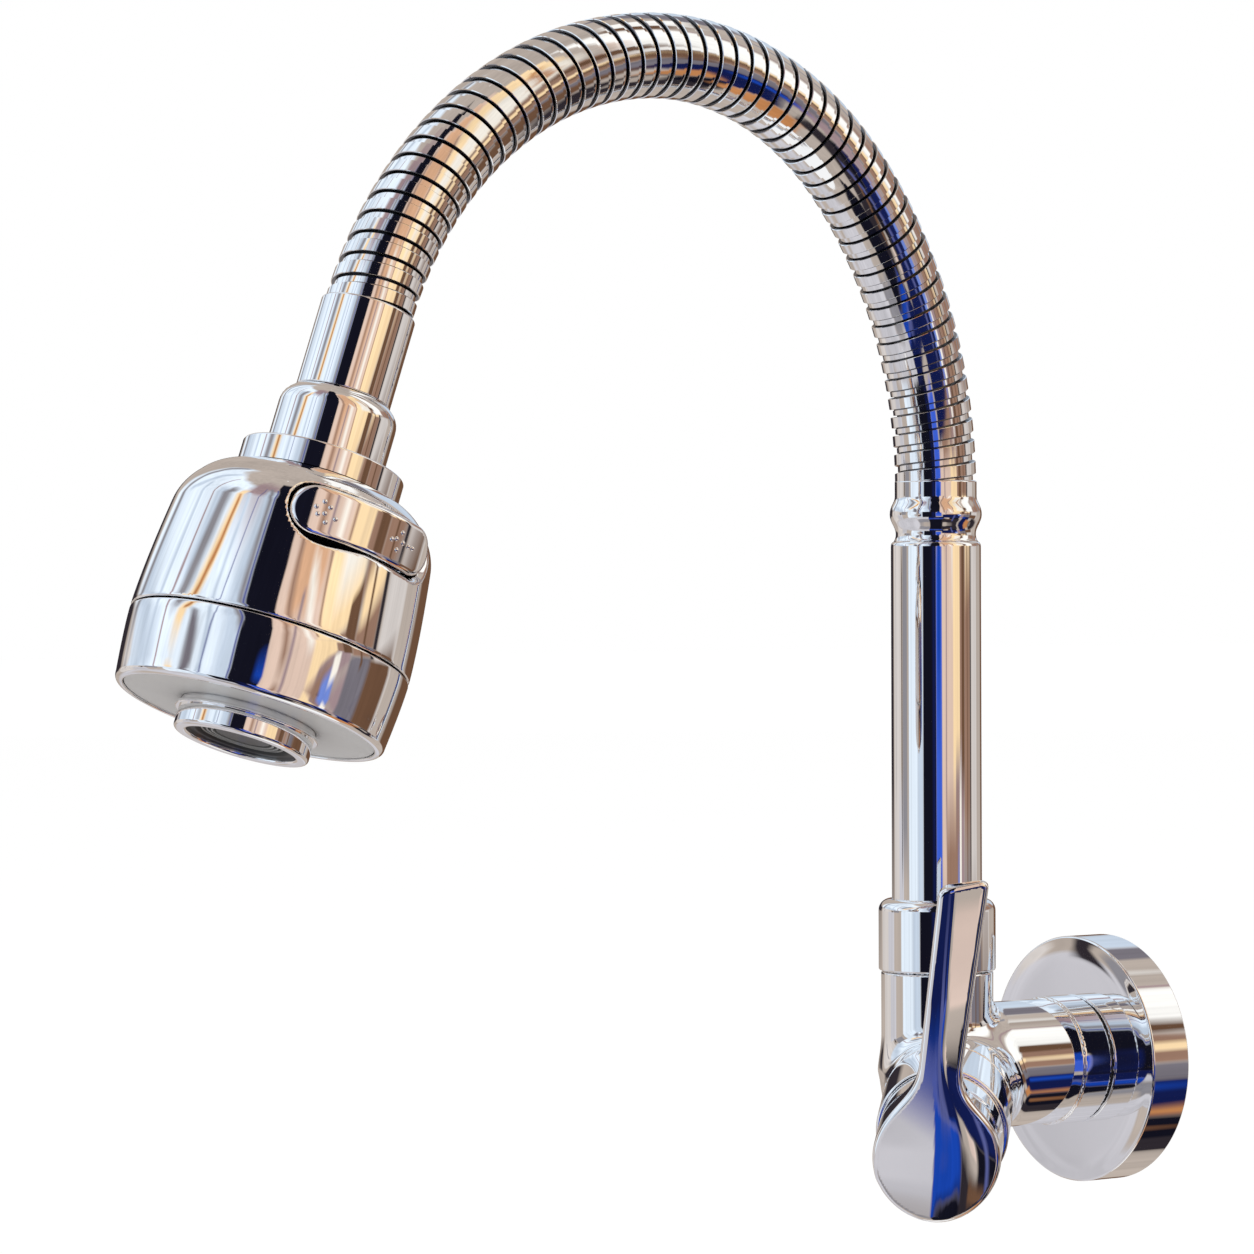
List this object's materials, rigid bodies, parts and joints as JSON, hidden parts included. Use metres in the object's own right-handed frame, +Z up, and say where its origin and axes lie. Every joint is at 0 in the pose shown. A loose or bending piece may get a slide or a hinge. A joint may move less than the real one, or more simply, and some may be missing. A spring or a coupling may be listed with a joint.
{
  "type": "kitchen tap",
  "caption": "Wall-mounted kitchen tap with a side lever, a flexible metal gooseneck on an upright pipe and a spray head with a rocker switch.",
  "frame": {"origin": "centre of the wall flange's back face, on the wall's surface", "axes": "+X along the wall, +Y into the wall along the inlet thread, +Z up along the upright pipe"},
  "size_m": [0.0914, 0.3061, 0.2824],
  "materials": {
    "chrome": "mirror-polished chrome plate",
    "plated_plastic": "mirror-polished chrome plate on plastic",
    "brass": "turned",
    "rubber": "matte",
    "ceramic": "lapped",
    "steel": "plain",
    "white_plastic": "satin",
    "black_plastic": "satin",
    "grey_plastic": "satin",
    "hose_plastic": "satin"
  },
  "bodies": {
    "body": {"wall_flange": "chrome", "inlet_nipple": "brass", "arm_washer": "rubber", "valve_body": "chrome", "trim_sleeve": "chrome", "cartridge_housing": "brass", "seat_seal": "rubber", "fixed_disc": "ceramic", "spout_nut": "chrome", "slip_washer": "white_plastic"},
    "handle": {"handle_lever": "chrome", "spindle": "brass", "moving_disc": "ceramic", "spindle_o_ring": "rubber", "handle_screw": "steel"},
    "spout": {"spout_pipe": "chrome", "spout_foot": "brass", "lower_pipe_o_ring": "rubber", "upper_pipe_o_ring": "rubber", "retaining_ring": "white_plastic", "ball_collar": "chrome", "gooseneck_hose": "chrome", "water_hose": "hose_plastic", "hose_tail": "brass", "head_ferrule": "chrome", "swivel_stem": "brass", "stem_o_ring": "rubber"},
    "head": {"swivel_nut": "chrome", "step_ring": "plated_plastic", "head_shell": "plated_plastic", "head_skirt": "plated_plastic", "face_plate": "grey_plastic", "water_chamber": "black_plastic", "outlet_neck": "plated_plastic", "aerator_ring": "plated_plastic", "aerator_seal": "rubber", "aerator_insert": "grey_plastic", "aerator_screen": "steel", "rocker_cradle": "black_plastic", "rocker_pin": "steel"},
    "rocker": {"rocker_button": "plated_plastic"},
    "spool": {"diverter_spool": "black_plastic", "spool_o_rings": "rubber"}
  },
  "joints": [
    {"name": "handle_turn", "type": "hinge", "parent": "body", "child": "handle", "pos_m": [0, -0.0501, -0.0035], "axis": [0.7154, -0.6671, -0.2079], "range_deg": [0, 90]},
    {"name": "spout_swivel", "type": "hinge", "parent": "body", "child": "spout", "pos_m": [0, -0.0548, 0.03], "axis": [0, 0, 1], "range_deg": [-96, 84]},
    {"name": "head_swivel", "type": "hinge", "parent": "spout", "child": "head", "pos_m": [0.01841, -0.22993, 0.1796], "axis": [0.0368, -0.3499, -0.9361], "continuous": true},
    {"name": "rocker_tilt", "type": "hinge", "parent": "head", "child": "rocker", "pos_m": [0.04395, -0.24842, 0.13058], "axis": [0.0368, -0.3499, -0.9361], "range_deg": [-7, 0]},
    {"name": "spool_slide", "type": "slide", "parent": "head", "child": "spool", "axis": [0.9993, 0.0066, 0.0368], "range_m": [0, 0.001]}
  ],
  "couplings": [
    {"joint": "spool_slide", "follows": "rocker_tilt", "m_per_rad": -0.008}
  ]
}
